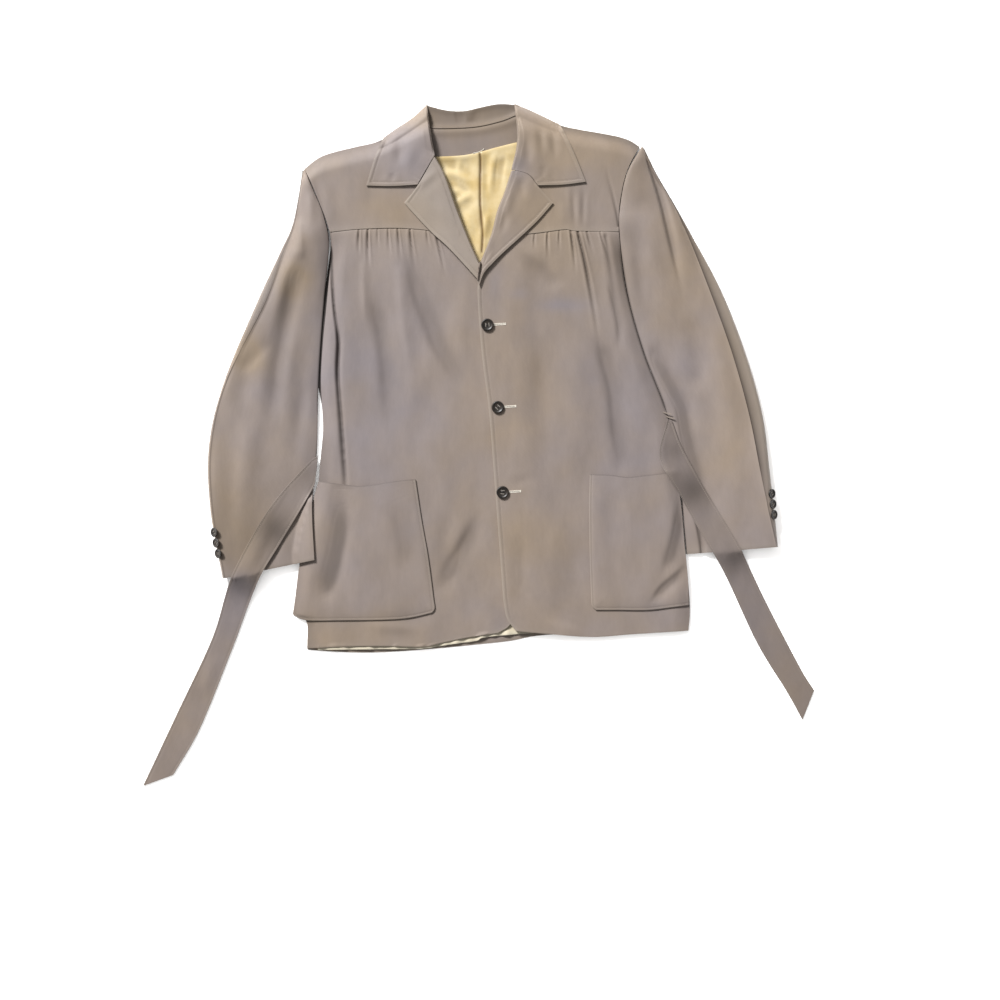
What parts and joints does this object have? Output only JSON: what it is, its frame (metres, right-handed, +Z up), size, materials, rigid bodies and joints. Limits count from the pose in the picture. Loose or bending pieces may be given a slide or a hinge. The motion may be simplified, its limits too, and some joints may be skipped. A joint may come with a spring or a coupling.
{
  "type": "belted jacket laid flat",
  "caption": "Laid-flat single-breasted gabardine jacket with notched lapels, gathered yokes, patch pockets, buttoned front and cuffs, satin back lining and loose belt ties.",
  "frame": {"origin": "centre of the laid jacket's outline in X and Y, on the surface it lies on", "axes": "+X towards the wearer's left sleeve (right as seen from above), +Y towards the collar, +Z up, away from the surface"},
  "size_m": [0.976, 0.9911, 0.0239],
  "materials": {
    "gabardine": "fine twill with a slight sheen",
    "lining": "satin",
    "horn": "polished dark horn"
  },
  "bodies": {
    "root": {"back": "gabardine", "neck_facing": "gabardine", "collar_stand": "gabardine", "collar_back": "gabardine", "collar_left": "gabardine", "collar_right": "gabardine", "lapel_left": "gabardine", "lapel_right": "gabardine", "yoke_left": "gabardine", "yoke_right": "gabardine", "front_left": "gabardine", "front_right": "gabardine", "pocket_left": "gabardine", "pocket_right": "gabardine", "sleeve_top_left": "gabardine", "sleeve_top_right": "gabardine", "sleeve_under_left": "gabardine", "sleeve_under_right": "gabardine", "belt_left": "gabardine", "belt_right": "gabardine", "back_lining": "lining", "button_1": "horn", "button_2": "horn", "button_3": "horn", "cuff_left_1": "horn", "cuff_left_2": "horn", "cuff_left_3": "horn", "cuff_right_1": "horn", "cuff_right_2": "horn", "cuff_right_3": "horn"}
  },
  "joints": []
}
